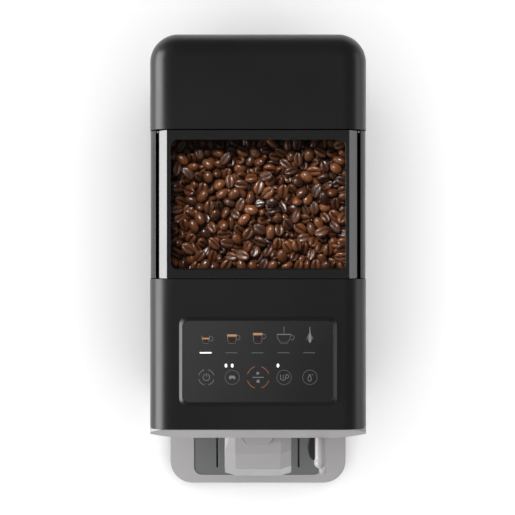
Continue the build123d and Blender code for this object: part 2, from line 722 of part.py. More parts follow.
tube_start = 17.0
with BuildPart() as wand_tube:
    start = [(wand_x, wand_reach_y, wand_z)[i] + tube_run[i] * tube_start / tube_length for i in range(3)]
    rod(start, tube_run, tube_radius, tube_length - tube_start - 8)
save(wand_tube.part, "wand_tube")

with BuildPart() as wand_tip:
    start = [(wand_tip_x, wand_tip_y, wand_tip_z)[i] - tube_run[i] * 8 / tube_length for i in range(3)]
    rod(start, tube_run, tube_radius + 0.8, 8)
    fillet(wand_tip.edges().group_by(Axis.Z)[0], 2)
save(wand_tip.part, "wand_tip")

grip_length = 20.0
grip_y = -152.0
with BuildPart() as wand_grip:
    with BuildSketch(Plane.XY.offset(wand_z - 9)) as tab:
        with Locations((wand_x - arm_radius - 1, grip_y)):
            Ellipse(5, grip_length / 2)
    extrude(tab.sketch, amount=11)
    fillet(wand_grip.edges().group_by(Axis.Z)[-1], 1)
    rod((wand_x, grip_y - grip_length, wand_z), Y_AXIS, arm_radius, 2 * grip_length, Mode.SUBTRACT)
    block((wand_x, grip_y - grip_length, wand_z - 12), (wand_x + 20, grip_y + grip_length, wand_z + 12),
          mode=Mode.SUBTRACT)
save(wand_grip.part, "wand_grip")

# Deck under the grinder
deck_z = neck_low - 68
deck_thickness = 3.0
motor_y = grinder_y + gear_module * (gear_teeth + pinion_teeth) / 2
shaft_radius = 4.0
with BuildPart() as deck:
    block((-inner_half, grinder_y - grinder_radius - 4, deck_z), (inner_half, bulkhead_front_y, deck_z + deck_thickness))
    rod((0, grinder_y, deck_z), Z_AXIS, shaft_radius + running_fit, deck_thickness, Mode.SUBTRACT)
save(deck.part, "deck")

# Grinder: housing, fixed upper burr, turning lower burr on its shaft
housing_low = deck_z + deck_thickness
chamber_radius = grinder_radius - 5
burr_low = housing_low + 22
with BuildPart() as grinder_housing:
    rod((0, grinder_y, housing_low), Z_AXIS, grinder_radius, neck_low - housing_low)
    rod((0, grinder_y, housing_low + 4), Z_AXIS, chamber_radius, neck_low - housing_low - 10, Mode.SUBTRACT)
    rod((0, grinder_y, neck_low - 7), Z_AXIS, neck_width / 2 - bin_wall - 1, 8, Mode.SUBTRACT)
    rod((0, grinder_y, housing_low), Z_AXIS, shaft_radius + running_fit, 5, Mode.SUBTRACT)
    block((-9, grinder_y - grinder_radius - 1, housing_low + 4), (9, grinder_y - chamber_radius + 8,
                                                                  housing_low + 19), mode=Mode.SUBTRACT)
save(grinder_housing.part, "grinder_housing")

with BuildPart() as upper_burr:
    rod((0, grinder_y, burr_low + 12), Z_AXIS, chamber_radius - running_fit, 12)
    with BuildSketch(Plane.XY.offset(burr_low + 12)) as mouth_low:
        with Locations((0, grinder_y)):
            Circle(21)
    with BuildSketch(Plane.XY.offset(burr_low + 24)) as mouth_high:
        with Locations((0, grinder_y)):
            Circle(15)
    loft([mouth_low.sketch, mouth_high.sketch], mode=Mode.SUBTRACT)
save(upper_burr.part, "upper_burr")

with BuildPart() as lower_burr:
    rod((0, grinder_y, burr_low), Z_AXIS, burr_radius, 9)
    with BuildSketch(Plane.XY.offset(burr_low + 9)) as cone_low:
        with Locations((0, grinder_y)):
            Circle(19)
    with BuildSketch(Plane.XY.offset(burr_low + 22)) as cone_high:
        with Locations((0, grinder_y)):
            Circle(9)
    loft([cone_low.sketch, cone_high.sketch])
    with BuildSketch(Plane.XY.offset(burr_low + 4)) as flutes:
        with Locations((0, grinder_y)):
            with PolarLocations(burr_radius, 24):
                Rectangle(3, 1.6)
    extrude(flutes.sketch, amount=6, mode=Mode.SUBTRACT)
save(lower_burr.part, "lower_burr")

gear_z = deck_z - 11
gear_thickness = 7.0
with BuildPart() as burr_shaft:
    rod((0, grinder_y, gear_z), Z_AXIS, shaft_radius, burr_low - gear_z)
save(burr_shaft.part, "burr_shaft")


def spur_outline(center, teeth, phase, z):
    """A spur gear's outline: a disc at the root circle with slim straight-sided teeth."""
    pitch = gear_module * teeth / 2
    with BuildSketch(Plane.XY.offset(z)) as outline:
        with Locations(center):
            Circle(pitch - gear_module)
            with PolarLocations(pitch - 0.2 * gear_module, teeth, start_angle=phase):
                Trapezoid(1.7 * gear_module, 1.3 * gear_module, 80, rotation=-90)
    return outline.sketch


with BuildPart() as burr_gear:
    extrude(spur_outline((0, grinder_y), gear_teeth, 0, gear_z), amount=gear_thickness)
    rod((0, grinder_y, gear_z), Z_AXIS, shaft_radius, gear_thickness, Mode.SUBTRACT)
save(burr_gear.part, "burr_gear")

motor_shaft_radius = 2.5
motor_radius = 17.0
motor_high = gear_z - 4
motor_low = motor_high - 64
half_tooth = 180 / pinion_teeth
with BuildPart() as motor_pinion:
    extrude(spur_outline((0, motor_y), pinion_teeth, 90 + half_tooth, gear_z), amount=gear_thickness)
    rod((0, motor_y, motor_high - 20), Z_AXIS, motor_shaft_radius, gear_z - motor_high + 20)
save(motor_pinion.part, "motor_pinion")

with BuildPart() as grinder_motor:
    rod((0, motor_y, motor_low), Z_AXIS, motor_radius, motor_high - motor_low)
    block((-10, motor_y, motor_low + 8), (10, bulkhead_front_y, motor_high - 8))
    rod((0, motor_y, motor_high - 21), Z_AXIS, motor_shaft_radius + running_fit, 22, Mode.SUBTRACT)
save(grinder_motor.part, "grinder_motor")

# Coffee chute: a square duct that falls from the grinder to the brewing cylinder
chute_low = housing_low + 4
chute_end_y = brew_y + cylinder_radius + cylinder_wall + 1


def duct(half, height, lift, overrun):
    """The duct's two end outlines, at the grinder and at the cylinder."""
    ends = []
    for x, y, z in ((0, grinder_y - grinder_radius + overrun, chute_low + 8),
                    (brew_x - 8, chute_end_y - overrun, chute_low + 4)):
        with BuildSketch(Plane((x, y, z + lift), x_dir=X_AXIS, z_dir=(0, -1, 0))) as outline:
            Rectangle(2 * half, height)
        ends.append(outline.sketch)
    return ends


with BuildPart() as coffee_chute:
    loft(duct(10, 17, 0, 0), ruled=True)
    loft(duct(8, 13, 0, 0.01), ruled=True, mode=Mode.SUBTRACT)
save(coffee_chute.part, "coffee_chute")

# Brewing unit: frame, cylinder, piston on a crosshead, spindle and its motor
frame_low = opening_top + 3
frame_plate = 4.0
frame_high = frame_low + 118
frame_half = 30.0
spindle_radius = 4.5
cylinder_low = frame_low + frame_plate
cylinder_height = 58.0
piston_low = cylinder_low + cylinder_height + 4
crosshead_z = piston_low + piston_travel - 2
with BuildPart() as brew_frame:
    block((brew_x - frame_half, front_y, frame_low), (brew_x + frame_half, brew_y + 29, cylinder_low))
    block((brew_x - frame_half, brew_y - 54, frame_high), (brew_x + frame_half, brew_y + 29,
                                                          frame_high + frame_plate))
    for side in (-1, 1):
        plate_x = brew_x + side * (frame_half - frame_plate / 2)
        block((plate_x - frame_plate / 2, brew_y - 44, cylinder_low),
              (plate_x + frame_plate / 2, brew_y + 10, frame_high))
    rod((brew_x, spindle_y, frame_low), Z_AXIS, spindle_radius + running_fit, frame_plate, Mode.SUBTRACT)
    rod((brew_x, spindle_y, frame_high), Z_AXIS, spindle_radius + running_fit, frame_plate, Mode.SUBTRACT)
save(brew_frame.part, "brew_frame")

with BuildPart() as brew_cylinder:
    rod((brew_x, brew_y, cylinder_low), Z_AXIS, cylinder_radius + cylinder_wall, cylinder_height)
    rod((brew_x, brew_y, cylinder_low + 6), Z_AXIS, cylinder_radius, cylinder_height, Mode.SUBTRACT)
save(brew_cylinder.part, "brew_cylinder")

with BuildPart() as brew_piston:
    rod((brew_x, brew_y, piston_low), Z_AXIS, cylinder_radius - running_fit, 12)
    rod((brew_x, brew_y, piston_low + 12), Z_AXIS, 6, crosshead_z - piston_low - 12)
    block((brew_x - 8, spindle_y - 8, crosshead_z), (brew_x + 8, brew_y + 8, crosshead_z + 8), 3)
    rod((brew_x, spindle_y, crosshead_z), Z_AXIS, spindle_radius + running_fit, 8, Mode.SUBTRACT)
save(brew_piston.part, "brew_piston")

with BuildPart() as brew_spindle:
    rod((brew_x, spindle_y, frame_low + 0.5), Z_AXIS, spindle_radius, frame_high + frame_plate - frame_low)
save(brew_spindle.part, "brew_spindle")

with BuildPart() as brew_motor:
    rod((brew_x, spindle_y, frame_high + frame_plate), Z_AXIS, 15, 34)
    rod((brew_x, spindle_y, frame_high + frame_plate), Z_AXIS, spindle_radius + running_fit, 2, Mode.SUBTRACT)
save(brew_motor.part, "brew_motor")

# Thermoblock with cooling ribs, against the left side panel
block_low = frame_low + 36
block_back_y = -20.0
with BuildPart() as thermoblock:
    block((-inner_half, block_back_y - 80, block_low), (-inner_half + 34, block_back_y, block_low + 62))
    for step in range(7):
        rib_y = block_back_y - 10 - step * 10
        block((-inner_half + 30, rib_y - 3, block_low + 4), (-inner_half + 40, rib_y, block_low + 58))
save(thermoblock.part, "thermoblock")

# Pump on two rubber mounts, low at the left
pump_x = tank_hose_x
pump_z = 60.0
pump_front_y = -20.0
pump_rear_y = 60.0
with BuildPart() as pump:
    rod((pump_x, pump_front_y, pump_z), Y_AXIS, 18, 46)
    rod((pump_x, pump_front_y + 46, pump_z), Y_AXIS, 12, pump_rear_y - pump_front_y - 46)
save(pump.part, "pump")

with BuildPart() as pump_mounts:
    for y in (pump_front_y + 8, pump_front_y + 36):
        block((pump_x - 14, y - 4, pan_top), (pump_x + 14, y + 4, pump_z - 5))
        rod((pump_x, y - 5, pump_z), Y_AXIS, 18, 10, Mode.SUBTRACT)
save(pump_mounts.part, "pump_mounts")

# Steam valve behind the wand and the main control board on the bulkhead
with BuildPart() as steam_valve:
    block((wand_x - 11, front_y + 3, wand_z - 9), (wand_x + 11, front_y + 25, wand_z + 9), 3)
save(steam_valve.part, "steam_valve")

board_x = 52.0
board_low = 62.0
board_high = deck_z - 8
with BuildPart() as main_board:
    block((board_x - 28, bulkhead_front_y - 6, board_low), (board_x + 28, bulkhead_front_y - 4, board_high))
    for x in (board_x - 22, board_x + 22):
        for z in (board_low + 6, board_high - 6):
            rod((x, bulkhead_front_y - 4, z), Y_AXIS, 3, 4)
    for x, share, size in ((board_x - 12, 0.24, 8), (board_x + 10, 0.32, 10), (board_x - 4, 0.66, 9)):
        z = board_low + share * (board_high - board_low)
        block((x - size, bulkhead_front_y - 6 - size, z - size), (x + size, bulkhead_front_y - 6, z + size))
save(main_board.part, "main_board")

# Internal hoses, each straight runs joined by tangent arcs
hose_routes = {
    "supply": [(0, seat_y, shelf_top - cover_wall), (0, seat_y, tank_hose_z),
               (tank_hose_x, seat_y, tank_hose_z), (tank_hose_x, pump_rear_y + 30, tank_hose_z),
               (tank_hose_x, pump_rear_y + 18, pump_z), (tank_hose_x, pump_rear_y, pump_z)],
    "pressure": [(pump_x, pump_front_y, pump_z), (pump_x, block_back_y - 22, pump_z),
                 (pump_x, block_back_y - 22, block_low)],
    "brewing": [(pump_x, brew_y - 4, block_low + 62), (pump_x, brew_y - 4, block_low + 98),
                (brew_x - 22, brew_y - 4, block_low + 98), (brew_x - 22, brew_y - 4, frame_high + frame_plate)],
    "steam": [(pump_x, block_back_y - 70, block_low + 62), (pump_x, block_back_y - 70, block_low + 122),
              (wand_x, front_y + 14, block_low + 122), (wand_x, front_y + 14, wand_z + 9)],
    "coffee": [(brew_x - 12.6, brew_y - 21.8, cylinder_low + 9), (brew_x - 22, brew_y - 38, cylinder_low + 9),
               (0, front_y + 16, spout_hose_z), (0, front_y, spout_hose_z)],
}


def arc_radii(points):
    """Each corner's radius: 0.45 of its shorter run over the tangent of half the turn."""
    radii = []
    for before, corner, after in zip(points, points[1:], points[2:]):
        arriving = Vector(*corner) - Vector(*before)
        leaving = Vector(*after) - Vector(*corner)
        half_turn = math.radians(arriving.get_angle(leaving)) / 2
        radii.append(0.45 * min(arriving.length, leaving.length) / math.tan(half_turn))
    return radii


hose_volume = 0.0
with BuildPart() as internal_hoses:
    for hose, points in hose_routes.items():
        radii = arc_radii(points)
        with BuildLine() as route:
            FilletPolyline(*points, radius=radii)
        with BuildSketch(Plane(points[0], z_dir=Vector(*points[1]) - Vector(*points[0]))) as section:
            Circle(hose_radius)
        sweep(section.sketch, path=route.line)
        length = sum(edge.length for edge in route.edges())
        print(hose, "radii", [round(radius, 1) for radius in radii], "length", round(length, 1))
        hose_volume += math.pi * hose_radius**2 * length
save(internal_hoses.part, "internal_hoses")
print("hose volume", round(internal_hoses.part.volume), "section times length", round(hose_volume))
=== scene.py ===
import bpy
import math
import numpy as np
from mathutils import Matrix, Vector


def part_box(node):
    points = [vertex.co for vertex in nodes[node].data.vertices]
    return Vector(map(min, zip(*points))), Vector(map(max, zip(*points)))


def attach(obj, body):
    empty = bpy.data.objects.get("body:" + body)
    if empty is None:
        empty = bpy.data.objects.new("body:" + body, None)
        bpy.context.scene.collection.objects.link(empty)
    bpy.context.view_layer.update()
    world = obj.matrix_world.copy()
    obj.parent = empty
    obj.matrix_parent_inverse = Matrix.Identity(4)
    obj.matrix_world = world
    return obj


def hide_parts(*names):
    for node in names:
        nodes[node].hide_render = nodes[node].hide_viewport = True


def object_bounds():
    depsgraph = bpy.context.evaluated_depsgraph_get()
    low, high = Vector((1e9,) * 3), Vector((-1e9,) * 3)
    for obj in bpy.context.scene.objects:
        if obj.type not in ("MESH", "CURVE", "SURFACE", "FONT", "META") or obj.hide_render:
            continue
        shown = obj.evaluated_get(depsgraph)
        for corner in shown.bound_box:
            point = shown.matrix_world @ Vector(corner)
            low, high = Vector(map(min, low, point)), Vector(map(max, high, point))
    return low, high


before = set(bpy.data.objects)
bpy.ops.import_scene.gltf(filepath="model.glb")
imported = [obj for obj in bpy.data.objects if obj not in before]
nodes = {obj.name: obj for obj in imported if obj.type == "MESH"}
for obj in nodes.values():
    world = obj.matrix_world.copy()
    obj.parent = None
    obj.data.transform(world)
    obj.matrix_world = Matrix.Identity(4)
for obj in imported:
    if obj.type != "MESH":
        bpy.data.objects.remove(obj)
cadBox = [list(corner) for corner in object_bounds()]
mm = 0.001
print("frame loaded:", len(nodes), "nodes")


# meshes
def gridFaces(rows, columns, wrapColumns=True):
    # quads of a rows x columns grid of points, its columns joined round when wrapColumns is set
    across = np.arange(columns if wrapColumns else columns - 1)
    down = np.arange(rows - 1)[:, None]
    nextAcross = (across + 1) % columns
    quads = np.stack([down * columns + across, down * columns + nextAcross,
                      (down + 1) * columns + nextAcross, (down + 1) * columns + across], axis=-1)
    return quads.reshape(-1, 4)


def addPiece(name, points, faces, body, material, stands=(), smooth=True):
    # one mesh object in the frame's own place, riding on a CAD body
    mesh = bpy.data.meshes.new(name)
    mesh.from_pydata(np.asarray(points, float).tolist(), [], [list(face) for face in faces])
    mesh.validate()
    if smooth:
        mesh.shade_smooth()
    piece = bpy.data.objects.new(name, mesh)
    bpy.context.scene.collection.objects.link(piece)
    mesh.materials.append(material)
    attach(piece, body)
    if stands:
        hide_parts(*stands)
    return piece


def roundedOutline(corners, radius, steps=6):
    # a closed outline whose corners are replaced by quadratic curves starting radius away from them
    corners = np.asarray(corners, float)
    radius = np.broadcast_to(radius, len(corners))
    before = np.roll(corners, 1, axis=0) - corners
    after = np.roll(corners, -1, axis=0) - corners
    start = corners + before / np.linalg.norm(before, axis=1)[:, None] * radius[:, None]
    end = corners + after / np.linalg.norm(after, axis=1)[:, None] * radius[:, None]
    share = np.linspace(0, 1, steps)[None, :, None]
    curve = ((1 - share)**2 * start[:, None] + 2 * share * (1 - share) * corners[:, None]
             + share**2 * end[:, None])
    return curve.reshape(-1, 2)


# shader pieces
def shaderGroup(name, inputs, outputs):
    # an empty node group with the given float inputs and outputs
    tree = bpy.data.node_groups.new(name, "ShaderNodeTree")
    for label, value in inputs.items():
        socket = tree.interface.new_socket(label, in_out="INPUT", socket_type="NodeSocketFloat")
        socket.default_value = value
    for label, kind in outputs.items():
        tree.interface.new_socket(label, in_out="OUTPUT", socket_type="NodeSocket" + kind)
    return tree, tree.nodes.new("NodeGroupInput"), tree.nodes.new("NodeGroupOutput")


def wire(tree, output, target):
    tree.links.new(output, target)


def mathNode(tree, operation, first, second=None, third=None):
    node = tree.nodes.new("ShaderNodeMath")
    node.operation = operation
    for place, value in enumerate((first, second, third)):
        if value is None:
            continue
        if isinstance(value, (int, float)):
            node.inputs[place].default_value = value
        else:
            wire(tree, value, node.inputs[place])
    return node.outputs[0]


def noiseNode(tree, coordinate, scale, detail=3.0, rough=0.5, stretch=None):
    if stretch is not None:
        mapping = tree.nodes.new("ShaderNodeMapping")
        mapping.inputs["Scale"].default_value = stretch
        wire(tree, coordinate, mapping.inputs["Vector"])
        coordinate = mapping.outputs["Vector"]
    node = tree.nodes.new("ShaderNodeTexNoise")
    wire(tree, coordinate, node.inputs["Vector"])
    node.inputs["Detail"].default_value = detail
    node.inputs["Roughness"].default_value = rough
    if isinstance(scale, (int, float)):
        node.inputs["Scale"].default_value = scale
    else:
        wire(tree, scale, node.inputs["Scale"])
    return node.outputs["Fac"]


def rangeNode(tree, value, low, high, newLow, newHigh):
    node = tree.nodes.new("ShaderNodeMapRange")
    for label, item in (("From Min", low), ("From Max", high), ("To Min", newLow), ("To Max", newHigh)):
        if isinstance(item, (int, float)):
            node.inputs[label].default_value = item
        else:
            wire(tree, item, node.inputs[label])
    wire(tree, value, node.inputs["Value"])
    return node.outputs["Result"]


def buildMouldGrain():
    # fine spark-eroded grain of moulded plastic and paint: a height, and patches where it is smoother
    tree, given, put = shaderGroup("mouldGrain", {"Grain Scale": 1800.0, "Patch Scale": 14.0},
                                   {"Height": "Float", "Patches": "Float"})
    place = tree.nodes.new("ShaderNodeTexCoord").outputs["Object"]
    fine = noiseNode(tree, place, given.outputs["Grain Scale"], 2.0, 0.6)
    coarse = noiseNode(tree, place, mathNode(tree, "MULTIPLY", given.outputs["Grain Scale"], 0.22), 2.0, 0.5)
    wire(tree, mathNode(tree, "ADD", mathNode(tree, "MULTIPLY", fine, 0.7),
                        mathNode(tree, "MULTIPLY", coarse, 0.3)),
         put.inputs["Height"])
    patches = noiseNode(tree, place, given.outputs["Patch Scale"], 4.0, 0.55)
    wire(tree, rangeNode(tree, patches, 0.3, 0.7, 0.0, 1.0), put.inputs["Patches"])
    return tree


def buildEdgeWear():
    # where the surface turns sharply: the rounded normal, and a mask broken up by noise
    tree, given, put = shaderGroup("edgeWear", {"Radius": 0.0006}, {"Normal": "Vector", "Mask": "Float"})
    bevel = tree.nodes.new("ShaderNodeBevel")
    bevel.samples = 4
    wire(tree, given.outputs["Radius"], bevel.inputs["Radius"])
    wire(tree, bevel.outputs["Normal"], put.inputs["Normal"])
    flat = tree.nodes.new("ShaderNodeNewGeometry").outputs["Normal"]
    dot = tree.nodes.new("ShaderNodeVectorMath")
    dot.operation = "DOT_PRODUCT"
    wire(tree, bevel.outputs["Normal"], dot.inputs[0])
    wire(tree, flat, dot.inputs[1])
    turned = rangeNode(tree, dot.outputs["Value"], 1.0, 0.86, 0.0, 1.0)
    place = tree.nodes.new("ShaderNodeTexCoord").outputs["Object"]
    broken = rangeNode(tree, noiseNode(tree, place, 160.0, 3.0), 0.35, 0.65, 0.1, 1.0)
    wire(tree, mathNode(tree, "MULTIPLY", turned, broken), put.inputs["Mask"])
    return tree


def buildTouchMarks():
    # faint smears left by wiping and fingers, stretched one way, from 0 clean to 1 smeared
    tree, given, put = shaderGroup("touchMarks", {"Amount": 0.5}, {"Marks": "Float"})
    place = tree.nodes.new("ShaderNodeTexCoord").outputs["Object"]
    wipes = noiseNode(tree, place, 9.0, 5.0, 0.6, (1.0, 3.2, 1.0))
    spots = noiseNode(tree, place, 46.0, 2.0, 0.5)
    mixed = mathNode(tree, "MULTIPLY", rangeNode(tree, wipes, 0.42, 0.7, 0.0, 1.0),
                     rangeNode(tree, spots, 0.35, 0.65, 0.4, 1.0))
    wire(tree, mathNode(tree, "MULTIPLY", mixed, given.outputs["Amount"]), put.inputs["Marks"])
    return tree


mouldGrain = buildMouldGrain()
edgeWear = buildEdgeWear()
touchMarks = buildTouchMarks()


def groupNode(tree, group, **values):
    node = tree.nodes.new("ShaderNodeGroup")
    node.node_tree = group
    for label, value in values.items():
        node.inputs[label.replace("_", " ")].default_value = value
    return node


def mixColor(tree, factor, first, second):
    node = tree.nodes.new("ShaderNodeMix")
    node.data_type = "RGBA"
    wire(tree, factor, node.inputs["Factor"])
    for place, value in ((6, first), (7, second)):
        if isinstance(value, (tuple, list)):
            node.inputs[place].default_value = (*value[:3], 1.0)
        else:
            wire(tree, value, node.inputs[place])
    return node.outputs[2]


def newMaterial(name):
    material = bpy.data.materials.new(name)
    material.use_nodes = True
    tree = material.node_tree
    return material, tree, tree.nodes["Principled BSDF"]


def finishMaterial(name, look):
    # moulded, painted or metal finish: grain, smears, uneven roughness and lighter worn edges
    material, tree, shader = newMaterial(name)
    grain = groupNode(tree, mouldGrain, Grain_Scale=look["grainScale"],
                      Patch_Scale=look.get("patchScale", 14.0))
    edges = groupNode(tree, edgeWear, Radius=look.get("edgeRadius", 0.0006))
    marks = groupNode(tree, touchMarks, Amount=look.get("marks", 0.4))
    base = np.array(look["color"])
    tone = look.get("tone", 0.10)
    worn = look.get("worn", (base * 1.5 + 0.01).tolist())
    varied = mixColor(tree, grain.outputs["Patches"], (base * (1 - tone)).tolist(),
                      (base * (1 + tone)).tolist())
    edgeShare = mathNode(tree, "MULTIPLY", edges.outputs["Mask"], look.get("wear", 0.25))
    wire(tree, mixColor(tree, edgeShare, varied, worn), shader.inputs["Base Color"])
    low, high = look["roughness"]
    patchy = rangeNode(tree, grain.outputs["Patches"], 0.0, 1.0, low, high)
    smeared = mathNode(tree, "ADD", patchy, mathNode(tree, "MULTIPLY", marks.outputs["Marks"],
                                                     look.get("smear", 0.12)))
    wire(tree, smeared, shader.inputs["Roughness"])
    bump = tree.nodes.new("ShaderNodeBump")
    bump.inputs["Strength"].default_value = look.get("bump", 0.15)
    bump.inputs["Distance"].default_value = look.get("bumpDepth", 0.00008)
    wire(tree, grain.outputs["Height"], bump.inputs["Height"])
    wire(tree, edges.outputs["Normal"], bump.inputs["Normal"])
    wire(tree, bump.outputs["Normal"], shader.inputs["Normal"])
    shader.inputs["Metallic"].default_value = look.get("metallic", 0.0)
    shader.inputs["Specular IOR Level"].default_value = look.get("specular", 0.5)
    shader.inputs["Coat Weight"].default_value = look.get("coat", 0.0)
    shader.inputs["Coat Roughness"].default_value = look.get("coatRoughness", 0.1)
    return material


finishes = {
    "blackSatin": {"color": (0.0078, 0.0078, 0.0080), "roughness": (0.30, 0.37), "grainScale": 2300.0,
                   "bump": 0.12,
                   "wear": 0.2, "worn": (0.035, 0.035, 0.035), "edgeRadius": 0.0008, "marks": 0.3},
    "lidBlack": {"color": (0.0068, 0.0068, 0.0070), "roughness": (0.10, 0.15), "grainScale": 1500.0,
                 "bump": 0.03,
                 "wear": 0.2, "worn": (0.03, 0.03, 0.03), "edgeRadius": 0.0007, "marks": 0.5, "smear": 0.08,
                 "coat": 1.0},
    "greigePaint": {"color": (0.325, 0.312, 0.318), "roughness": (0.36, 0.44), "grainScale": 1900.0,
                    "bump": 0.14,
                    "wear": 0.3, "worn": (0.46, 0.45, 0.45), "edgeRadius": 0.0009, "tone": 0.03,
                    "marks": 0.35},
    "wandPaint": {"color": (0.36, 0.345, 0.34), "roughness": (0.28, 0.36), "grainScale": 1900.0, "bump": 0.1,
                  "wear": 0.3, "tone": 0.04, "edgeRadius": 0.0005},
    "trayDark": {"color": (0.118, 0.120, 0.121), "roughness": (0.42, 0.52), "grainScale": 2000.0,
                 "bump": 0.2,
                 "wear": 0.35, "worn": (0.22, 0.22, 0.22), "edgeRadius": 0.0006, "tone": 0.05},
    "blackMoulding": {"color": (0.020, 0.020, 0.021), "roughness": (0.46, 0.58), "grainScale": 1500.0,
                      "bump": 0.3,
                      "bumpDepth": 0.00012, "wear": 0.25},
    "greyMoulding": {"color": (0.16, 0.16, 0.165), "roughness": (0.42, 0.55), "grainScale": 1500.0,
                     "bump": 0.25},
    "whiteMoulding": {"color": (0.66, 0.66, 0.63), "roughness": (0.38, 0.5), "grainScale": 1500.0,
                      "bump": 0.2,
                      "tone": 0.04},
    "softRubber": {"color": (0.017, 0.017, 0.0175), "roughness": (0.62, 0.76), "grainScale": 900.0,
                   "bump": 0.4,
                   "bumpDepth": 0.00015, "tone": 0.18, "wear": 0.15},
    "machinedSteel": {"color": (0.52, 0.52, 0.53), "roughness": (0.22, 0.36), "grainScale": 700.0,
                      "bump": 0.12,
                      "metallic": 1.0, "wear": 0.4, "worn": (0.75, 0.75, 0.76)},
    "castAluminium": {"color": (0.56, 0.56, 0.57), "roughness": (0.42, 0.6), "grainScale": 900.0,
                      "bump": 0.5,
                      "bumpDepth": 0.0002, "metallic": 1.0, "wear": 0.5, "worn": (0.8, 0.8, 0.8)},
    "contactBrass": {"color": (0.62, 0.46, 0.20), "roughness": (0.25, 0.4), "grainScale": 900.0,
                     "metallic": 1.0},
}
made = {name: finishMaterial(name, look) for name, look in finishes.items()}


def glassMaterial(name, look):
    # thin clear or smoked wall: mostly see-through face on, more reflective and opaque when seen aslant
    material, tree, shader = newMaterial(name)
    marks = groupNode(tree, touchMarks, Amount=look["marks"])
    facing = tree.nodes.new("ShaderNodeLayerWeight")
    facing.inputs["Blend"].default_value = look["blend"]
    marked = mathNode(tree, "MULTIPLY", marks.outputs["Marks"], look["markAlpha"])
    slant = rangeNode(tree, facing.outputs["Facing"], 0.0, 1.0, look["alpha"][0], look["alpha"][1])
    wire(tree, mathNode(tree, "ADD", slant, marked), shader.inputs["Alpha"])
    wire(tree, rangeNode(tree, marks.outputs["Marks"], 0.0, 1.0, look["roughness"], look["roughness"] + 0.1),
         shader.inputs["Roughness"])
    grain = groupNode(tree, mouldGrain, Grain_Scale=500.0, Patch_Scale=20.0)
    low, high = [(np.array(look["color"]) * scale).tolist() for scale in (0.9, 1.1)]
    wire(tree, mixColor(tree, grain.outputs["Patches"], low, high), shader.inputs["Base Color"])
    shader.inputs["IOR"].default_value = 1.45
    material.use_backface_culling = False
    return material


made["clearPane"] = glassMaterial("clearPane", {"color": (0.01, 0.01, 0.01), "alpha": (0.04, 0.80),
                                                "blend": 0.25,
                                                "roughness": 0.04, "marks": 0.5, "markAlpha": 0.04})
made["smokedTank"] = glassMaterial("smokedTank", {"color": (0.020, 0.021, 0.023), "alpha": (0.72, 0.97),
                                                  "blend": 0.35, "roughness": 0.10, "marks": 0.6,
                                                  "markAlpha": 0.08})


def panelGlassMaterial():
    # tinted touch panel: deep gloss black with a painted reflection that makes it a little greyer towards
    # the left rear, and finger smears
    look = {"dark": (0.012, 0.012, 0.0125), "light": (0.030, 0.030, 0.031), "roughness": (0.10, 0.22)}
    material, tree, shader = newMaterial("panelGlass")
    place = tree.nodes.new("ShaderNodeTexCoord").outputs["Object"]
    split = tree.nodes.new("ShaderNodeSeparateXYZ")
    wire(tree, place, split.inputs[0])
    low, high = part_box("control_glass")
    # painted reflection: the base colour runs from dark to a lighter grey towards the left rear
    paintedReflectionSlope = mathNode(tree, "SUBTRACT", split.outputs["X"],
                     mathNode(tree, "MULTIPLY", split.outputs["Y"], 0.5))
    shade = rangeNode(tree, paintedReflectionSlope, low.x + 0.03, high.x + 0.03, 1.0, 0.0)
    wire(tree, mixColor(tree, shade, look["dark"], look["light"]), shader.inputs["Base Color"])
    marks = groupNode(tree, touchMarks, Amount=1.0)
    wire(tree, rangeNode(tree, marks.outputs["Marks"], 0.0, 1.0, *look["roughness"]),
         shader.inputs["Roughness"])
    shader.inputs["Coat Weight"].default_value = 0.3
    shader.inputs["Coat Roughness"].default_value = 0.05
    return material


def chromeMaterial():
    # polished plating with faint wiping marks and a trace of uneven tint
    look = {"color": (0.34, 0.345, 0.345), "roughness": (0.06, 0.16)}
    material, tree, shader = newMaterial("polishedChrome")
    marks = groupNode(tree, touchMarks, Amount=1.0)
    grain = groupNode(tree, mouldGrain, Grain_Scale=260.0, Patch_Scale=30.0)
    low, high = [(np.array(look["color"]) * scale).tolist() for scale in (0.93, 1.04)]
    wire(tree, mixColor(tree, grain.outputs["Patches"], low, high), shader.inputs["Base Color"])
    wire(tree, rangeNode(tree, marks.outputs["Marks"], 0.0, 1.0, *look["roughness"]),
         shader.inputs["Roughness"])
    shader.inputs["Metallic"].default_value = 1.0
    edges = groupNode(tree, edgeWear, Radius=0.0005)
    wire(tree, edges.outputs["Normal"], shader.inputs["Normal"])
    return material


def boardMaterial():
    # lacquered circuit board: green ground with rows of copper-coloured tracks
    material, tree, shader = newMaterial("circuitBoard")
    place = tree.nodes.new("ShaderNodeTexCoord").outputs["Object"]
    tracks = tree.nodes.new("ShaderNodeTexBrick")
    tracks.inputs["Scale"].default_value = 60.0
    tracks.inputs["Mortar Size"].default_value = 0.02
    tracks.inputs["Color1"].default_value = (0.01, 0.10, 0.04, 1)
    tracks.inputs["Color2"].default_value = (0.015, 0.13, 0.05, 1)
    tracks.inputs["Mortar"].default_value = (0.35, 0.28, 0.10, 1)
    wire(tree, place, tracks.inputs["Vector"])
    wire(tree, tracks.outputs["Color"], shader.inputs["Base Color"])
    wire(tree, rangeNode(tree, noiseNode(tree, place, 90.0), 0.3, 0.7, 0.25, 0.45),
         shader.inputs["Roughness"])
    return material


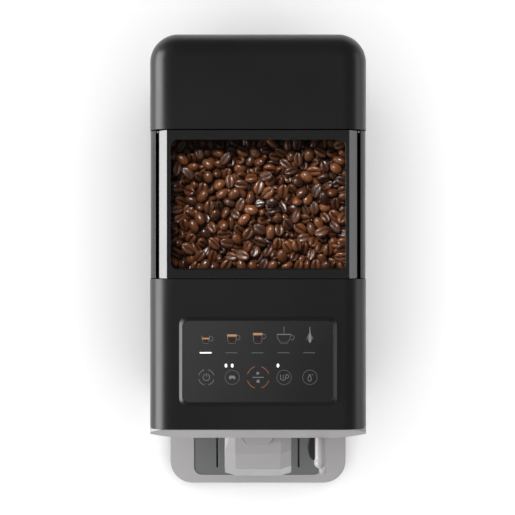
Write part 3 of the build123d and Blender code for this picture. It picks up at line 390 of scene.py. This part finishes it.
def beanMaterial():
    # roasted coffee: each bean its own brown by its colour attribute, with painted shade darkening the
    # crease, the tips and the bed beneath, a mottled oily skin
    look = {"dark": (0.024, 0.0070, 0.0030), "light": (0.270, 0.086, 0.026),
            "crease": (0.003, 0.0010, 0.0006)}
    material, tree, shader = newMaterial("roastedBean")
    tint = tree.nodes.new("ShaderNodeAttribute")
    tint.attribute_name = "roastAndShade"
    parts = tree.nodes.new("ShaderNodeSeparateColor")
    wire(tree, tint.outputs["Color"], parts.inputs[0])
    place = tree.nodes.new("ShaderNodeTexCoord").outputs["Object"]
    mottled = noiseNode(tree, place, 420.0, 4.0, 0.62)
    shade = mathNode(tree, "ADD", parts.outputs["Red"],
                     mathNode(tree, "MULTIPLY", mathNode(tree, "SUBTRACT", mottled, 0.5), 0.75))
    skin = mixColor(tree, rangeNode(tree, shade, 0.0, 1.0, 0.0, 1.0), look["dark"], look["light"])
    # the attribute's green share mixes in the near-black crease colour: painted shade in the creases, at the
    # tips and over the bed
    wire(tree, mixColor(tree, parts.outputs["Green"], skin, look["crease"]), shader.inputs["Base Color"])
    wire(tree, rangeNode(tree, noiseNode(tree, place, 900.0, 2.0), 0.3, 0.7, 0.27, 0.42),
         shader.inputs["Roughness"])
    bump = tree.nodes.new("ShaderNodeBump")
    bump.inputs["Strength"].default_value = 0.35
    bump.inputs["Distance"].default_value = 0.00025
    wire(tree, noiseNode(tree, place, 700.0, 4.0, 0.6), bump.inputs["Height"])
    wire(tree, bump.outputs["Normal"], shader.inputs["Normal"])
    shader.inputs["Coat Weight"].default_value = 0.45
    shader.inputs["Coat Roughness"].default_value = 0.2
    return material


def printMaterial(name, color, glow):
    # printed or back-lit symbol: slightly uneven ink over a glow; on the printed inks the faint glow is
    # painted light, on the white marks it stands for the lit indicators
    material, tree, shader = newMaterial(name)
    place = tree.nodes.new("ShaderNodeTexCoord").outputs["Object"]
    patch = rangeNode(tree, noiseNode(tree, place, 1500.0), 0.3, 0.7, 0.0, 1.0)
    low, high = [(np.array(color) * scale).tolist() for scale in (0.88, 1.0)]
    ink = mixColor(tree, patch, low, high)
    wire(tree, ink, shader.inputs["Base Color"])
    wire(tree, ink, shader.inputs["Emission Color"])
    shader.inputs["Emission Strength"].default_value = glow
    shader.inputs["Roughness"].default_value = 0.35
    return material


made["panelGlass"] = panelGlassMaterial()
made["polishedChrome"] = chromeMaterial()
made["circuitBoard"] = boardMaterial()
made["roastedBean"] = beanMaterial()
# the faint glow on the grey, pale, orange, coffee and crema inks is painted light; the white ink's glow
# stands for the indicator lamps
made["inkGrey"] = printMaterial("inkGrey", (0.085, 0.085, 0.085), 0.10)
made["inkPale"] = printMaterial("inkPale", (0.16, 0.16, 0.16), 0.15)
made["inkWhite"] = printMaterial("inkWhite", (0.9, 0.9, 0.9), 0.9)
made["inkOrange"] = printMaterial("inkOrange", (0.22, 0.075, 0.028), 0.2)
made["inkCoffee"] = printMaterial("inkCoffee", (0.020, 0.012, 0.010), 0.1)
made["inkCrema"] = printMaterial("inkCrema", (0.34, 0.19, 0.10), 0.25)

nodeFinishes = {
    "blackSatin": ["front_head", "tank_lid", "side_panel_left", "side_panel_right", "service_door",
                   "rear_base"],
    "lidBlack": ["hopper_lid"],
    "panelGlass": ["control_glass"],
    "greigePaint": ["front_panel", "drip_tray", "spout_guide", "wand_socket", "spout_body"],
    "wandPaint": ["wand_arm", "wand_tube", "wand_tip"],
    "trayDark": ["tray_grille"],
    "polishedChrome": ["spout_skirt"],
    "clearPane": ["hopper_window"],
    "smokedTank": ["water_tank"],
    "blackMoulding": ["base_pan", "hopper_bin", "grounds_box", "bulkhead", "deck", "coffee_chute",
                      "mains_inlet",
                      "switch_frame", "power_switch", "spout_nozzles"],
    "softRubber": ["feet", "tank_seat", "wand_grip", "pump_mounts", "internal_hoses"],
    "greyMoulding": ["brew_frame", "brew_piston", "brew_cylinder", "grinder_housing", "steam_valve",
                     "tank_valve"],
    "whiteMoulding": ["water_filter", "burr_gear", "control_lights"],
    "machinedSteel": ["lower_burr", "upper_burr", "burr_shaft", "motor_pinion", "brew_spindle",
                      "case_screws",
                      "corner_brackets", "door_hinge_pins", "tank_lid_pins", "grinder_motor", "brew_motor",
                      "pump"],
    "castAluminium": ["thermoblock"],
    "contactBrass": ["inlet_blades"],
    "circuitBoard": ["control_board", "main_board"],
}
for finish, names in nodeFinishes.items():
    for name in names:
        for place in range(max(1, len(nodes[name].material_slots))):
            if nodes[name].material_slots:
                nodes[name].material_slots[place].material = made[finish]
            else:
                nodes[name].data.materials.append(made[finish])
print("finishes set on", sum(len(names) for names in nodeFinishes.values()), "nodes")

highest = np.array(cadBox[1])


# roasted beans, heaped close under the clear pane
def beanShape(look):
    # long axis u from -1 to 1, angle v round it: a domed back, a flatter belly and a winding crease along
    # the belly
    rings = np.sin(np.linspace(-1, 1, look["rings"] + 2)[1:-1] * math.pi / 2)[:, None]
    angle = np.radians(look["angles"])[None, :]
    girth = (1 - rings**2)**0.46
    across = look["width"] / 2 * np.cos(angle) * girth
    lift = np.sin(angle)
    domed = np.where(lift < 0, look["back"] * lift, look["belly"] * np.abs(lift)**0.55)
    height = domed * girth**0.9
    crease = (np.abs(angle - math.pi / 2) < 0.01) * np.ones_like(rings)
    height = height - crease * look["creaseDepth"] * girth
    across = across + look["creaseBend"] * np.sin(2.6 * rings) * (np.abs(angle - math.pi / 2) < 0.4)
    along = look["length"] / 2 * rings * np.ones_like(angle)
    body = np.stack([along, across, height], axis=-1).reshape(-1, 3)
    tips = np.array([[-look["length"] / 2, 0, 0], [look["length"] / 2, 0, 0]])
    count, around = look["rings"], len(look["angles"])
    step = np.arange(around)
    turn = (step + 1) % around
    first, last = count * around, (count - 1) * around
    faces = gridFaces(count, around)[:, ::-1].tolist()
    faces += np.stack([np.full(around, first), turn, step], axis=1)[:, ::-1].tolist()
    faces += np.stack([np.full(around, first + 1), last + step, last + turn], axis=1)[:, ::-1].tolist()
    # the last item is the mask for the painted crease shade; both tips take a share of 0.3 of it, darkening
    # the bean ends
    return np.concatenate([body, tips]), faces, np.concatenate([crease.reshape(-1), [0.3, 0.3]])


def settleBeans(look, low, high, rng):
    # each bean is two balls on an axis; overlapping balls push their beans apart while all sink onto the bed
    count = look["count"]
    centre = rng.uniform(low, high, (count, 3))
    axis = rng.normal(size=(count, 3)) * (1, 1, look["tilt"])
    axis /= np.linalg.norm(axis, axis=1)[:, None]
    reach, radius = look["reach"], look["radius"]
    for step in range(look["steps"]):
        if step % 10 == 0:
            gap = centre[:, None] - centre[None]
            near = np.argwhere(np.triu((gap**2).sum(-1) < (4 * radius + 2 * reach)**2, 1))
            one, two = near[:, 0], near[:, 1]
        push = np.zeros_like(centre)
        twist = np.zeros_like(centre)
        for sideOne in (-1, 1):
            for sideTwo in (-1, 1):
                apart = centre[one] + sideOne * reach * axis[one] - centre[two] - sideTwo * reach * axis[two]
                distance = np.linalg.norm(apart, axis=1)[:, None] + 1e-9
                shove = np.clip(2 * radius - distance, 0, None) * apart / distance * 0.3
                np.add.at(push, one, shove)
                np.add.at(push, two, -shove)
                np.add.at(twist, one, sideOne * shove)
                np.add.at(twist, two, -sideTwo * shove)
        centre += push * 0.5
        centre[:, 2] -= look["sink"]
        axis += twist / reach * 0.35
        axis[:, 2] *= 0.985
        axis /= np.linalg.norm(axis, axis=1)[:, None]
        centre[:, :2] = np.clip(centre[:, :2], np.add(low[:2], radius), np.subtract(high[:2], radius))
        centre[:, 2] = np.maximum(centre[:, 2], low[2])
    return centre, axis


def buildBeans():
    look = {"count": 600, "length": 0.0122, "width": 0.0091, "back": 0.0039, "belly": 0.0024, "rings": 6,
            "angles": (90, 71, 44, 12, -24, -57, -90, -123, -156, 168, 136, 109), "creaseDepth": 0.0021,
            "creaseBend": 0.0004, "reach": 0.0021, "radius": 0.0039, "steps": 150, "sink": 0.00016,
            "tilt": 0.7,
            "depth": 0.022, "clear": 0.0055, "seed": 7}
    rng = np.random.default_rng(look["seed"])
    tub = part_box("hopper_bin")
    inner = 0.0021
    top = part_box("hopper_window")[0].z - look["clear"]
    low = (tub[0].x + inner, tub[0].y + inner, top - look["depth"])
    high = (tub[1].x - inner, tub[1].y - inner, top)
    centre, axis = settleBeans(look, low, high, rng)
    count = len(centre)
    side = np.cross(axis, (0.0, 0.0, 1.0))
    side /= np.linalg.norm(side, axis=1)[:, None]
    up = np.cross(side, axis)
    up *= np.sign(up[:, 2:3])
    facing = rng.random(count)
    roll = rng.normal(0, 0.45, count) + np.where(facing < 0.3, 0.0,
                                                 np.where(facing < 0.92, math.pi, math.pi / 2))
    across = side * np.cos(roll)[:, None] + up * np.sin(roll)[:, None]
    height = np.cross(axis, across)
    shape, faces, crease = beanShape(look)
    swell = rng.uniform(0.86, 1.10, (count, 3))
    local = shape[None] * swell[:, None]
    points = (centre[:, None] + local[..., 0:1] * axis[:, None] + local[..., 1:2] * across[:, None]
              + local[..., 2:3] * height[:, None])
    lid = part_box("hopper_window")[0].z - 0.0012
    points[..., 2] -= np.clip(points[..., 2].max(axis=1) - lid, 0, None)[:, None]
    vertices = len(shape)
    allFaces = [[vertex + bean * vertices for vertex in face] for bean in range(count) for face in faces]
    piece = addPiece("coffee_beans", points.reshape(-1, 3), allFaces, "machine", made["roastedBean"])
    roastAndShade = np.zeros((count, vertices, 4), dtype=np.float32)
    roastAndShade[..., 0] = np.clip(rng.normal(0.42, 0.20, count), 0.05, 1.0)[:, None]
    # green channel: the share of painted crease shade
    roastAndShade[..., 1] = crease[None]
    roastAndShade[..., 3] = 1
    piece.data.color_attributes.new("roastAndShade", "FLOAT_COLOR", "POINT").data.foreach_set("color", roastAndShade.ravel())
    bed = buildBed(low, high, look)
    print("beans:", count, "highest", round(float(points[..., 2].max()), 4), "bed", bed.name)


def buildBed(low, high, look):
    # the beans further down, as one lumpy closed cushion painted nearly black as shade: height is a sum of
    # crossed waves
    across = np.linspace(low[0] + 0.0005, high[0] - 0.0005, 90)
    along = np.linspace(low[1] + 0.0005, high[1] - 0.0005, 66)
    x, y = np.meshgrid(across, along)
    waves = np.sin(x * 700 + 2 * np.sin(y * 310)) * np.sin(y * 640 + 2 * np.sin(x * 290))
    top = low[2] + 0.0006 + 0.0022 * waves
    edge = (np.arange(90)[None] % 89 == 0) | (np.arange(66)[:, None] % 65 == 0)
    bottom = np.full_like(top, low[2] - 0.006)
    grid = np.stack([x, y, np.where(edge, low[2] - 0.002, top)], axis=-1)
    under = np.stack([x, y, np.where(edge, low[2] - 0.002, bottom)], axis=-1)
    points = np.concatenate([grid.reshape(-1, 3), under.reshape(-1, 3)])
    upper = gridFaces(66, 90, False)
    faces = upper.tolist() + (upper[:, ::-1] + 66 * 90).tolist()
    piece = addPiece("coffee_bed", points, faces, "machine", made["roastedBean"])
    roastAndShade = np.zeros((len(points), 4), dtype=np.float32)
    # darkest roast and a strong share of the crease colour: painted shade over the lower layer
    roastAndShade[:, 0] = 0.05
    roastAndShade[:, 1] = 0.6
    roastAndShade[:, 3] = 1
    piece.data.color_attributes.new("roastAndShade", "FLOAT_COLOR", "POINT").data.foreach_set("color", roastAndShade.ravel())
    return piece


buildBeans()


# black seal between the pane and the tub: a rounded band carried round the inside of the lid's opening
def buildSeal():
    look = {"gap": 0.0003, "width": 0.0021, "low": 0.0070, "high": 0.0012, "corner": 0.007}
    window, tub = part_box("hopper_window"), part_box("hopper_bin")
    middle = np.array([(tub[0].x + tub[1].x) / 2, (tub[0].y + tub[1].y) / 2])
    half = np.array([(tub[1].x - tub[0].x) / 2, (tub[1].y - tub[0].y) / 2]) - 0.0020 - look["gap"]
    signs = np.array([(-1, -1), (1, -1), (1, 1), (-1, 1)])
    rings = []
    for inset, drop in ((0, look["low"]), (0, look["high"]), (look["width"], look["high"]),
                        (look["width"], look["low"])):
        outline = roundedOutline(middle + signs * (half - inset), look["corner"] - inset)
        rings.append(np.column_stack([outline, np.full(len(outline), window[0].z - drop)]))
    around = len(rings[0])
    band = gridFaces(5, around) % (4 * around)
    addPiece("window_seal", np.concatenate(rings), band, "machine", made["softRubber"], smooth=False)
    print("window seal:", len(band), "faces")


buildSeal()


# symbols printed on the underside of the touch panel, shown as thin inlays on its face
def inkStroke(path, widths, base):
    # a flat strip of rectangular section carried along a path, its width given at every point
    path = np.asarray(path, float)
    widths = np.broadcast_to(np.asarray(widths, float), len(path))
    tangent = np.gradient(path, axis=0)
    tangent /= np.linalg.norm(tangent, axis=1)[:, None] + 1e-12
    normal = np.stack([-tangent[:, 1], tangent[:, 0]], axis=1) * widths[:, None] / 2
    left, right = path + normal, path - normal
    low, high = base
    rings = np.stack([np.column_stack([left, np.full(len(path), high)]),
                      np.column_stack([left, np.full(len(path), low)]),
                      np.column_stack([right, np.full(len(path), low)]),
                      np.column_stack([right, np.full(len(path), high)])], axis=1)
    faces = gridFaces(len(path), 4)[:, ::-1].tolist()
    last = 4 * (len(path) - 1)
    faces += [[0, 1, 2, 3], [last + 3, last + 2, last + 1, last]]
    return rings.reshape(-1, 3), faces


def addInk(name, strokes, ink, layer=1):
    # one piece of several strokes, each a path and its widths in millimetres from the glass centre
    low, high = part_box("control_glass")
    middle = ((low.x + high.x) / 2, (low.y + high.y) / 2)
    base = (high.z + 0.00001, high.z + (0.00003 + 0.00002 * layer))
    points, faces = [], []
    for path, widths in strokes:
        some, quads = inkStroke(np.asarray(path, float) * mm + middle, np.asarray(widths, float) * mm, base)
        faces += [[vertex + sum(len(each) for each in points) for vertex in quad] for quad in quads]
        points.append(some)
    return addPiece(name, np.concatenate(points), faces, "machine", made[ink], smooth=False)


def arcPath(centre, radius, start, end, steps=14):
    turn = np.radians(np.linspace(start, end, steps))
    return np.stack([centre[0] + radius * np.cos(turn), centre[1] + radius * np.sin(turn)], axis=1)


def ringStroke(centre, radius, width):
    return arcPath(centre, radius, 0, 360, 41), width


def brokenRing(centre, radius, width, gap):
    return [(arcPath(centre, radius, quarter + gap, quarter + 90 - gap), width) for quarter in (0, 90, 180,
                                                                                                270)]


def tapered(x, top, bottom, topWidth, bottomWidth, steps=6):
    # an upright strip whose width runs from topWidth to bottomWidth
    share = np.linspace(0, 1, steps)
    path = np.column_stack([np.full(steps, x), top + (bottom - top) * share])
    return path, topWidth + (bottomWidth - topWidth) * share


def buildSymbols():
    look = {"columns": (-43.2, -21.6, 0.0, 21.6, 43.2), "saucer": 15.1, "rim": (21.6, 22.6, 23.6, 22.6),
            "bar": (9.8, 7.3), "lowerRow": -13.2, "ring": 6.0, "stroke": 0.42, "thin": 0.28,
            "lamp": (2.0, -3.4)}
    thin, stroke, row = look["thin"], look["stroke"], look["lowerRow"]
    grey, pale, white, orange, coffee, crema = [], [], [], [], [], []
    cups = [(6.6, 5.0, -0.5), (8.0, 6.0, -0.3), (8.0, 6.2, -0.3), (11.6, 6.4, 0.0)]
    for place, (x, rim, (mouth, foot, shift)) in enumerate(zip(look["columns"], look["rim"], cups)):
        middle = x + shift
        floor = look["saucer"] + 1.1
        for side in (-1, 1):
            wall = [(middle + side * mouth / 2, rim), (middle + side * (mouth * 0.46), (rim + floor) / 2),
                    (middle + side * foot / 2, floor)]
            pale.append((wall, thin))
        handle = arcPath((middle + mouth / 2 + 0.9, rim - 2.6), 1.9, 115, -115, 12)
        pale.append((handle, thin))
        grey.append(([(middle - foot / 2, look["saucer"]), (middle + foot / 2, look["saucer"])], 0.4))
        if place == 3:
            pale.append(([(middle - mouth / 2, rim), (middle + mouth / 2, rim)], 0.7))
            grey.append(([(middle - foot / 2, floor), (middle + foot / 2, floor)], thin))
            grey.append(tapered(middle, 29.0, rim + 0.6, 0.9, 0.5))
        else:
            fill = rim - (2.2, 1.0, 0.8)[place]
            crema.append(tapered(middle, fill + (0.4, 1.0, 1.0)[place], fill - 0.5, mouth * 0.96,
                                 mouth * 0.93))
            orange.append(tapered(middle, fill - 0.5, fill - 1.2, mouth * 0.93, mouth * 0.90))
            coffee.append(tapered(middle, fill - 1.2, floor, mouth * 0.90, foot))
    plume = [(43.2, 29.0), (43.1, 27.0), (43.4, 24.5), (43.0, 22.5), (43.3, 20.0), (43.2, 17.6),
             (43.3, 15.6)]
    pale.append((plume, (0.5, 0.6, 0.9, 1.5, 2.6, 2.8, 0.8)))
    for side in (-1, 1):
        wisp = [(43.2 + side * 0.5, 23.5), (43.2 + side * 1.7, 20.6), (43.2 + side * 2.9, 18.2)]
        grey.append((wisp, (0.3, 0.9, 0.4)))
    half, barY = look["bar"][0] / 2, look["bar"][1]
    for x in look["columns"]:
        line = [(x - 0.6 - half, barY), (x - 0.6 + half, barY)]
        (white if x == look["columns"][0] else grey).append((line, 1.0 if x == look["columns"][0] else 0.65))
    lamp, lampY = look["lamp"]
    for x in (-26.8, -21.6, 16.6):
        white.append((np.column_stack([np.full(5, x), lampY + np.linspace(1.5, -1.5, 5)]),
                      lamp * np.array([0.5, 0.95, 1.0, 0.95, 0.5])))
    pale += brokenRing((look["columns"][0], row), 6.5, stroke, 16)
    pale.append((arcPath((look["columns"][0], row), 2.7, 112, 428, 24), stroke))
    pale.append(([(look["columns"][0], row + 3.2), (look["columns"][0], row + 0.6)], stroke))
    orange += brokenRing((0, row), 9.2, 0.55, 17)
    for x in (look["columns"][1], look["columns"][3], look["columns"][4]):
        grey.append(ringStroke((x, row), look["ring"], stroke))
    pale.append(([(-4.7, row), (4.7, row)], 0.6))
    pale.append(([(-1.2, row + 3.4), (1.5, row + 3.4)], (3.0, 0.1)))
    pale.append(([(-1.2, row - 3.3), (1.2, row - 3.3)], 2.4))
    share = np.linspace(-1, 1, 11)
    for shift, tilt in ((-1.4, 0.5), (1.2, -0.7)):
        x = look["columns"][1] + shift
        path = np.column_stack([x + share * 1.7 * math.sin(tilt), row + share * 1.7 * math.cos(tilt)])
        pale.append((path, 2.3 * np.sqrt(1 - share**2 * 0.98)))
    cupX = look["columns"][3] - 0.6
    pale.append(([(cupX - 2.4, row + 2.2), (cupX - 2.2, row - 1.2), (cupX - 1.2, row - 2.3),
                  (cupX + 1.0, row - 2.3),
                  (cupX + 2.0, row - 1.2), (cupX + 2.2, row + 2.2)], stroke))
    pale.append((arcPath((cupX + 3.0, row + 0.7), 1.5, 120, -120, 12), stroke))
    pale.append(([(cupX, row + 1.9), (cupX, row - 1.0)], stroke))
    dropX = look["columns"][4] - 0.2
    turn = np.linspace(0, 2 * math.pi, 33)
    drop = np.column_stack([dropX + 1.9 * np.sin(turn) * np.sin(turn / 2)**1.3,
                            row - 0.3 + 2.9 * np.cos(turn)])
    pale.append((drop, stroke))
    grey.append(ringStroke((dropX + 2.3, row + 2.2), 0.5, 0.3))
    for name, strokes, ink, layer in (("symbol_grey", grey, "inkGrey", 1),
                                      ("symbol_pale", pale, "inkPale", 2),
                                      ("symbol_lit", white, "inkWhite", 1),
                                      ("symbol_orange", orange, "inkOrange", 1),
                                      ("symbol_coffee", coffee, "inkCoffee", 1),
                                      ("symbol_crema", crema, "inkCrema", 1)):
        addInk(name, strokes, ink, layer)
    print("panel symbols:", sum(len(each) for each in (grey, pale, white, orange, coffee, crema)), "strokes")


buildSymbols()


# stage, light and camera

def buildStage():
    # pale plain floor, large enough to fill every view
    look = {"half": 6.0, "color": (0.93, 0.93, 0.93)}
    half = look["half"]
    mesh = bpy.data.meshes.new("floor")
    mesh.from_pydata([(-half, -half, 0), (half, -half, 0), (half, half, 0), (-half, half, 0)], [],
                     [(0, 1, 2, 3)])
    floor = bpy.data.objects.new("floor", mesh)
    bpy.context.scene.collection.objects.link(floor)
    material, tree, shader = newMaterial("palePaper")
    place = tree.nodes.new("ShaderNodeTexCoord").outputs["Object"]
    low, high = [(np.array(look["color"]) * scale).tolist() for scale in (0.995, 1.0)]
    wire(tree, mixColor(tree, noiseNode(tree, place, 3.0), low, high), shader.inputs["Base Color"])
    shader.inputs["Roughness"].default_value = 0.9
    shader.inputs["Specular IOR Level"].default_value = 0.1
    mesh.materials.append(material)


def addSoftbox(name, place, target, size, power, seenBy="both", lit=None):
    # seenBy keeps a box out of the reflections, or leaves it in them alone; lit names the group it shines on
    light = bpy.data.lights.new(name, "AREA")
    light.shape = "RECTANGLE"
    light.size, light.size_y = size
    light.energy = power
    holder = bpy.data.objects.new(name, light)
    bpy.context.scene.collection.objects.link(holder)
    holder.location = place
    holder.visible_glossy = seenBy != "diffuse"
    holder.visible_diffuse = seenBy != "glossy"
    if lit:
        holder.light_linking.receiver_collection = lit
    direction = np.array(target, float) - np.array(place, float)
    flat = math.hypot(direction[0], direction[1])
    holder.rotation_euler = (math.atan2(flat, -direction[2]), 0, math.atan2(-direction[0], direction[1]))


def litGroup(name, pieces):
    # the pieces that a softbox is set to shine on
    group = bpy.data.collections.new(name)
    for piece in pieces:
        group.objects.link(piece)
    return group


def buildLights():
    solid = [piece for piece in bpy.context.scene.objects if piece.type == "MESH"]
    beans = [piece for piece in solid if piece.name in ("coffee_beans", "coffee_bed")]
    floor = [piece for piece in solid if piece.name == "floor"]
    groups = {"all": None, "beans": litGroup("beans only", beans), "floor": litGroup("floor only", floor),
              "machine": litGroup("machine pieces", [piece for piece in solid if piece not in floor]),
              "notBeans": litGroup("all but beans", [piece for piece in solid if piece not in beans])}
    softboxes = {
        "topBox": ((0.0, 0.02, 3.3), (0, 0.02, 0), (2.0, 2.0), 74.0, "diffuse", "notBeans"),
        "floorWash": ((0.0, 0.02, 3.0), (0, 0.02, 0), (2.6, 2.6), 51.0, "diffuse", "floor"),
        "leftKey": ((-1.7, -0.12, 0.85), (0, -0.16, 0.1), (1.0, 0.5), 46.0, "diffuse", "machine"),
        "leftBox": ((-1.7, -0.05, 0.72), (0, -0.05, 0.3), (2.6, 1.2), 66.0, "glossy", "all"),
        "rightBox": ((1.9, 0.0, 0.62), (0, 0, 0.3), (2.4, 0.9), 10.0, "glossy", "all"),
        "beanKey": ((-0.35, 0.75, 1.5), (0, 0.08, 0.3), (0.45, 0.45), 27.0, "both", "beans"),
    }
    for name, (place, target, size, power, seenBy, lit) in softboxes.items():
        addSoftbox(name, place, target, size, power, seenBy, groups[lit])
    world = bpy.data.worlds.new("studio")
    world.use_nodes = True
    world.node_tree.nodes["Background"].inputs["Color"].default_value = (1, 1, 1, 1)
    world.node_tree.nodes["Background"].inputs["Strength"].default_value = 0.13
    bpy.context.scene.world = world


def buildCamera():
    # straight above, a little behind the middle, far enough away for only a slight perspective
    view = {"offset": (-0.0005, 0.018), "distance": 1.398, "lens": 117.1}
    camera = bpy.data.objects.new("camera", bpy.data.cameras.new("camera"))
    bpy.context.scene.collection.objects.link(camera)
    camera.data.sensor_width = 36.0
    camera.data.lens = view["lens"]
    camera.data.dof.use_dof = False
    camera.location = (*view["offset"], highest[2] + view["distance"])
    camera.rotation_euler = (0, 0, 0)
    bpy.context.scene.camera = camera


buildStage()
buildLights()
buildCamera()
bpy.context.scene.view_settings.view_transform = "Standard"
print("stage, lights and camera set")
